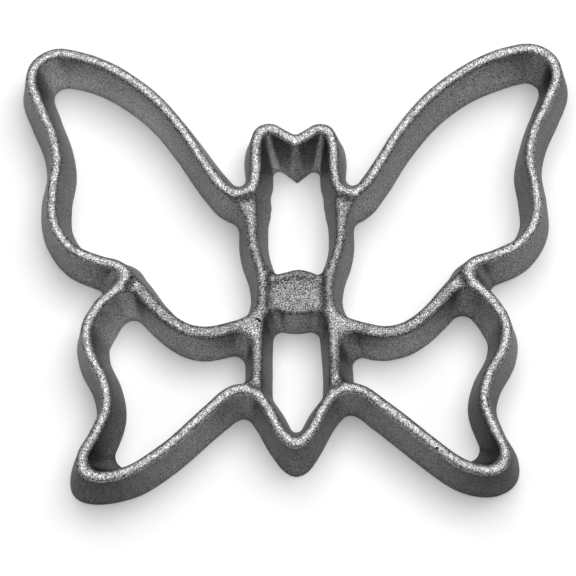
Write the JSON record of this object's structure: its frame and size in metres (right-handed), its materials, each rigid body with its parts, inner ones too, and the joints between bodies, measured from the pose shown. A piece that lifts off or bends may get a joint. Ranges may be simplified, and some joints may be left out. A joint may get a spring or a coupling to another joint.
{
  "type": "rosette iron",
  "caption": "Butterfly-shaped cast aluminium rosette iron: a drafted lattice of walls with a rounded rim, open cells and a handle boss tapped from the back.",
  "frame": {"origin": "bottom centre of the bounding box, in the plane of the flat back", "axes": "+X to the right wing, +Y to the head, +Z from the flat back to the rim that is dipped in batter"},
  "size_m": [0.0892, 0.0738, 0.0135],
  "materials": {
    "cast_aluminium": "matte as-cast skin, rubbed bright along the rim"
  },
  "bodies": {
    "root": {"head": "cast_aluminium", "tail": "cast_aluminium", "handle_boss": "cast_aluminium", "left_upper_wing": "cast_aluminium", "right_upper_wing": "cast_aluminium", "left_lower_wing": "cast_aluminium", "right_lower_wing": "cast_aluminium", "left_wing_divider": "cast_aluminium", "right_wing_divider": "cast_aluminium", "left_body_wall": "cast_aluminium", "right_body_wall": "cast_aluminium"}
  },
  "joints": []
}
